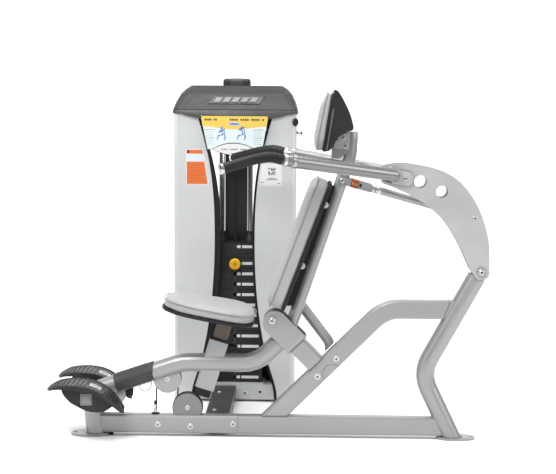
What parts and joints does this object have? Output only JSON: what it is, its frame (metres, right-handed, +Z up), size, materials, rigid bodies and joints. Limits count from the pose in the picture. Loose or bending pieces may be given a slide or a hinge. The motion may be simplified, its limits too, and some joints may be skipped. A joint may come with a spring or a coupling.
{
  "type": "shoulder_press_machine",
  "caption": "Silver-grey shoulder press machine with a tilting seat carriage, overhead press arms and a pin-selected weight tower beside it",
  "frame": {"origin": "centre of the underside of the front foot plate, on the floor", "axes": "+Z up; the frame lies in the plane Y = 0 and runs along +X from the front foot to the rear foot; the user faces -X; the weight tower stands at +Y"},
  "size_m": [1.7786, 1.286, 1.47],
  "materials": {
    "frame_paint": "satin metallic",
    "panel_paint": "satin metallic",
    "dark_paint": "satin",
    "stack_black": "satin black",
    "chrome": "polished",
    "charcoal_plastic": "textured",
    "black_rubber": "matte",
    "pad_vinyl": "matte vinyl over foam",
    "yellow_plastic": "gloss",
    "orange_urethane": "satin",
    "placard_white": "satin",
    "cable_black": "satin",
    "bare_steel": "brushed"
  },
  "bodies": {
    "frame": {"base_beam": "frame_paint", "front_foot": "frame_paint", "rear_upright": "frame_paint", "arch_beam": "frame_paint", "pivot_post": "frame_paint", "pivot_clevis": "frame_paint", "brace_tube": "frame_paint", "carriage_axle": "bare_steel", "tower_connector": "dark_paint", "tower_base": "panel_paint", "tower_spine": "dark_paint", "tower_left_panel": "panel_paint", "tower_right_panel": "panel_paint", "tower_top_cap": "charcoal_plastic", "placard": "placard_white", "left_guide_rod": "chrome", "right_guide_rod": "chrome", "weight_plate_02": "stack_black", "weight_plate_03": "stack_black", "weight_plate_04": "stack_black", "weight_plate_05": "stack_black", "weight_plate_06": "stack_black", "weight_plate_07": "stack_black", "weight_plate_08": "stack_black", "weight_plate_09": "stack_black", "weight_plate_10": "stack_black", "weight_plate_11": "stack_black", "weight_plate_12": "stack_black", "beam_pulley_guard": "frame_paint", "pull_cable": "cable_black", "lift_cable": "cable_black", "towel_peg": "chrome"},
    "stack": {"head_plate": "stack_black", "weight_plate_01": "stack_black"},
    "selector": {"selector_pin": "yellow_plastic"},
    "beam_wheel": {"beam_pulley": "black_rubber"},
    "top_wheel": {"top_pulley": "black_rubber"},
    "carriage_wheel": {"carriage_pulley": "black_rubber"},
    "carriage": {"carriage_tube": "frame_paint", "step_sleeve": "black_rubber", "pedal_cross_tube": "frame_paint", "left_foot_pedal": "charcoal_plastic", "right_foot_pedal": "charcoal_plastic", "seat_sleeve": "frame_paint", "back_tube": "frame_paint", "back_pad": "pad_vinyl", "head_pad": "pad_vinyl", "back_hood": "charcoal_plastic"},
    "seat": {"seat_post": "bare_steel", "seat_pad": "pad_vinyl"},
    "seat_lock": {"seat_lock_knob": "black_rubber"},
    "arms": {"left_arm_plate": "frame_paint", "right_arm_plate": "frame_paint", "left_arm_tube": "frame_paint", "right_arm_tube": "frame_paint", "left_grip": "black_rubber", "right_grip": "black_rubber", "arm_axle": "bare_steel"},
    "link": {"link_rod": "frame_paint", "link_bush": "orange_urethane"}
  },
  "joints": [
    {"name": "press_arms", "type": "hinge", "parent": "frame", "child": "arms", "pos_m": [1.594, 0, 0.697], "axis": [0, 1, 0], "range_deg": [0, 34]},
    {"name": "carriage_tilt", "type": "hinge", "parent": "frame", "child": "carriage", "pos_m": [0.751, 0, 0.491], "axis": [0, 1, 0], "range_deg": [0, 12.3], "deforming": ["pull_cable"]},
    {"name": "link_swing", "type": "hinge", "parent": "carriage", "child": "link", "pos_m": [1.028, 0, 1.063], "axis": [0, 1, 0], "range_deg": [-18.4, 0]},
    {"name": "stack_lift", "type": "slide", "parent": "frame", "child": "stack", "axis": [0, 0, 1], "range_m": [0, 0.173], "deforming": ["lift_cable"]},
    {"name": "selector_slide", "type": "slide", "parent": "stack", "child": "selector", "axis": [0, -1, 0], "range_m": [0, 0.095]},
    {"name": "beam_pulley_turn", "type": "hinge", "parent": "frame", "child": "beam_wheel", "pos_m": [0.404, 0, 0.12], "axis": [0, 1, 0], "range_deg": [0, 196]},
    {"name": "top_pulley_turn", "type": "hinge", "parent": "frame", "child": "top_wheel", "pos_m": [0.565, 0.7656, 1.33], "axis": [-1, 0, 0], "range_deg": [0, 196]},
    {"name": "carriage_pulley_turn", "type": "hinge", "parent": "carriage", "child": "carriage_wheel", "pos_m": [0.321, 0, 0.238], "axis": [0, 1, 0], "range_deg": [-104, 0]},
    {"name": "seat_height", "type": "slide", "parent": "carriage", "child": "seat", "axis": [0.2874, 0, 0.9578], "range_m": [0, 0.08]},
    {"name": "seat_lock", "type": "slide", "parent": "carriage", "child": "seat_lock", "axis": [0.9578, 0, -0.2874], "range_m": [0, 0.01], "stiffness_N_per_m": 400, "springref_m": -0.005}
  ],
  "couplings": [
    {"joint": "carriage_tilt", "follows": "press_arms", "ratio": 0.3594},
    {"joint": "link_swing", "follows": "press_arms", "ratio": -0.536},
    {"joint": "stack_lift", "follows": "press_arms", "m_per_rad": 0.29},
    {"joint": "beam_pulley_turn", "follows": "press_arms", "ratio": 5.73},
    {"joint": "top_pulley_turn", "follows": "press_arms", "ratio": 5.73},
    {"joint": "carriage_pulley_turn", "follows": "press_arms", "ratio": -3.03}
  ]
}
